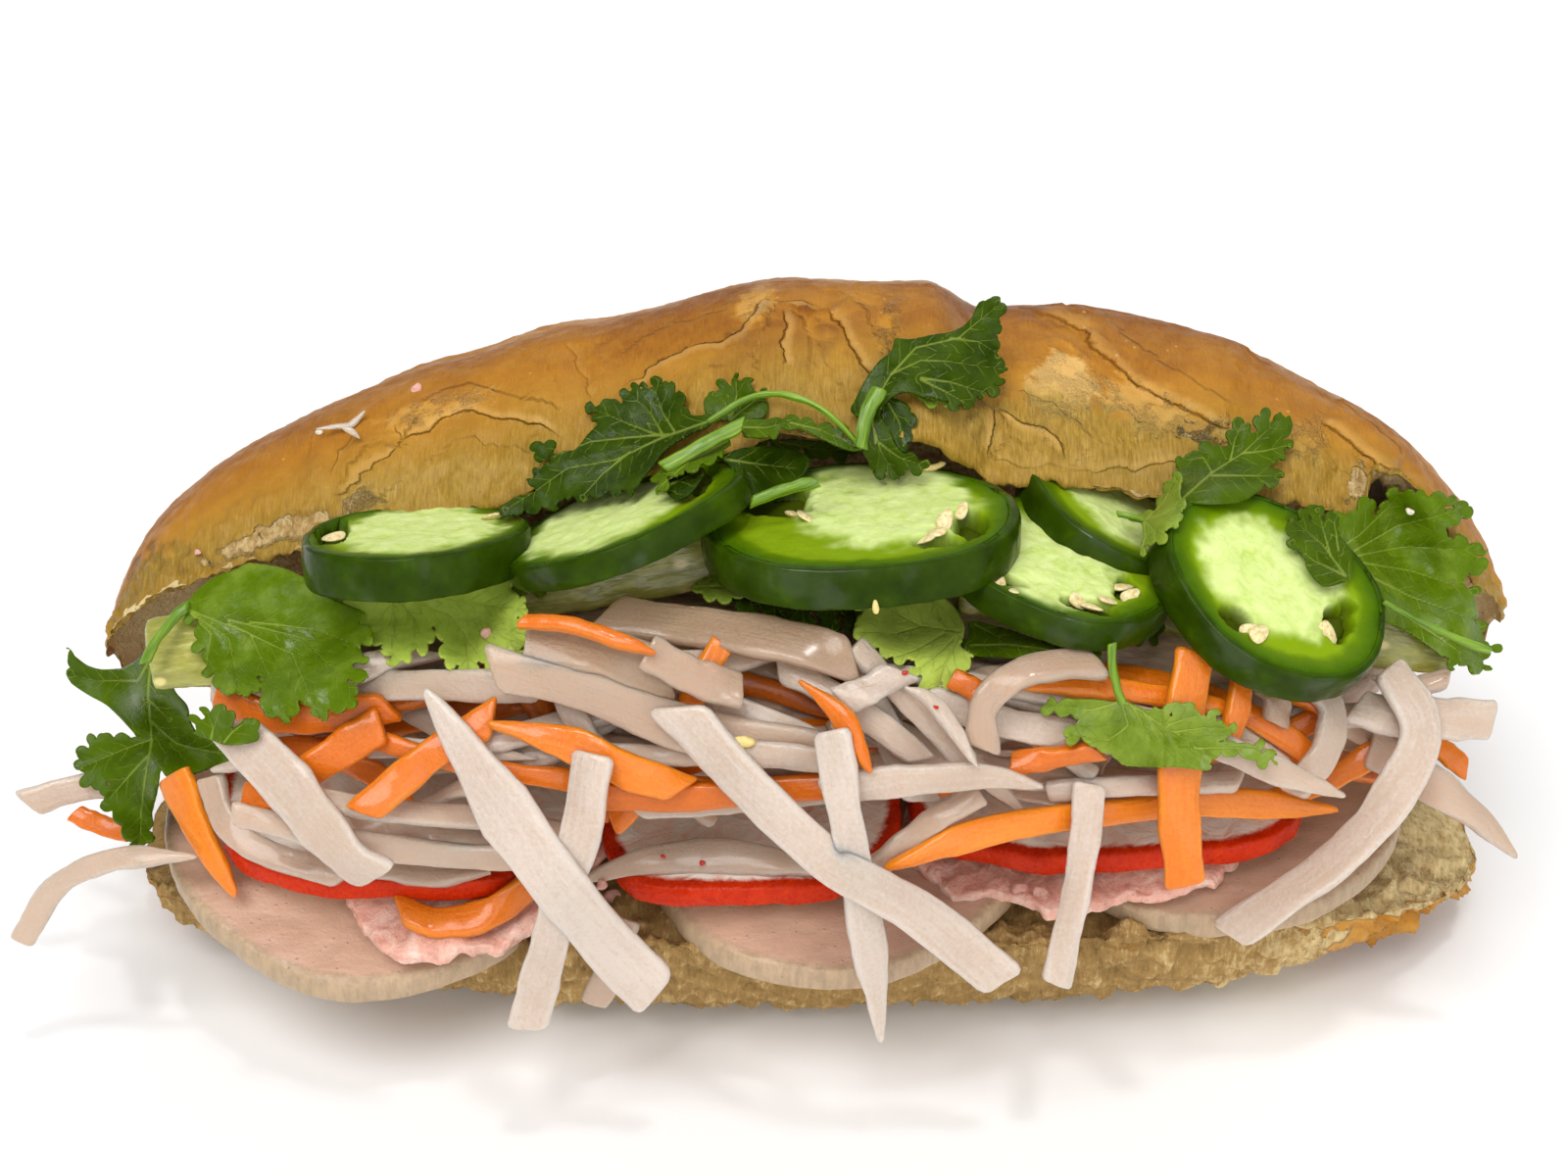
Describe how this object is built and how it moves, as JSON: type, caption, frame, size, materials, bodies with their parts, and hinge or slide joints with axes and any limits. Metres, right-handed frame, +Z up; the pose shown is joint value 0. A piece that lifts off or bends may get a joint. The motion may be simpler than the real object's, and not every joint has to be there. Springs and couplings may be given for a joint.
{
  "type": "banh mi sandwich",
  "caption": "Vietnamese baguette sandwich, propped open along the front by pork roll, ham, pickled daikon and carrot strips, cucumber, green chilli slices and coriander.",
  "frame": {"origin": "middle of the roll's flat underside, on the surface it stands on", "axes": "+X along the roll to the right, -Y out of the open front, +Z up"},
  "size_m": [0.2318, 0.1142, 0.1041],
  "materials": {
    "bread": "baked crust",
    "pork_roll": "moist",
    "ham": "moist",
    "red_rim_pork": "moist",
    "green_chilli": "glossy skin",
    "cucumber": "wet",
    "pickle": "wet",
    "coriander": "fresh leaf"
  },
  "bodies": {
    "root": {"bread_roll": "bread", "pork_roll_slice_left": "pork_roll", "pork_roll_slice_middle": "pork_roll", "pork_roll_slice_right": "pork_roll", "ham_fold_left": "ham", "ham_fold_right": "ham", "red_rim_slice_left": "red_rim_pork", "red_rim_slice_middle": "red_rim_pork", "red_rim_slice_right": "red_rim_pork", "pepper_slice_1": "green_chilli", "pepper_slice_2": "green_chilli", "pepper_slice_3": "green_chilli", "pepper_slice_4": "green_chilli", "pepper_slice_5": "green_chilli", "pepper_slice_6": "green_chilli", "cucumber_plank_left": "cucumber", "cucumber_plank_right": "cucumber", "pickle_heap": "pickle"}
  },
  "joints": []
}
